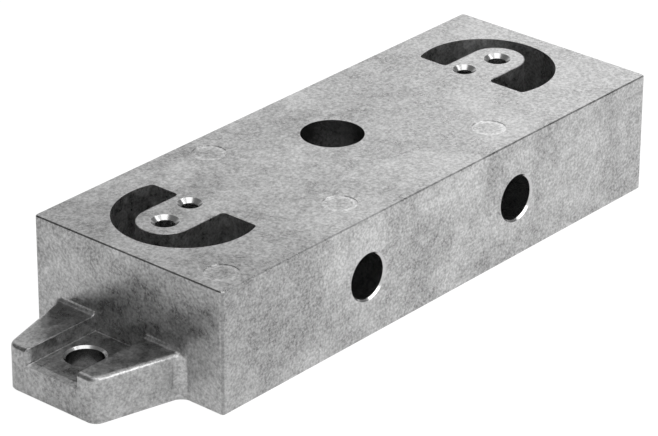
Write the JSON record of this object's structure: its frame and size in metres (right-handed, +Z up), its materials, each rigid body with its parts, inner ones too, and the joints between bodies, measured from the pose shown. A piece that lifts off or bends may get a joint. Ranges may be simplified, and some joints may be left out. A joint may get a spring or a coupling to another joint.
{
  "type": "machined die-cast block",
  "caption": "Long rectangular cast aluminium block with a channelled lug on one end, a middle bore, horseshoe pockets round drilled tongues and cross holes through the width.",
  "frame": {"origin": "the point where the middle bore's axis meets the flat base", "axes": "+Z up along the middle bore, +X along the length and away from the lug, +Y across the width, away from the side with the countersunk cross holes"},
  "size_m": [0.2286, 0.075, 0.04],
  "materials": {
    "aluminium": "as cast, grey and mottled, with machined holes"
  },
  "bodies": {
    "root": {"cast_block": "aluminium"}
  },
  "joints": []
}
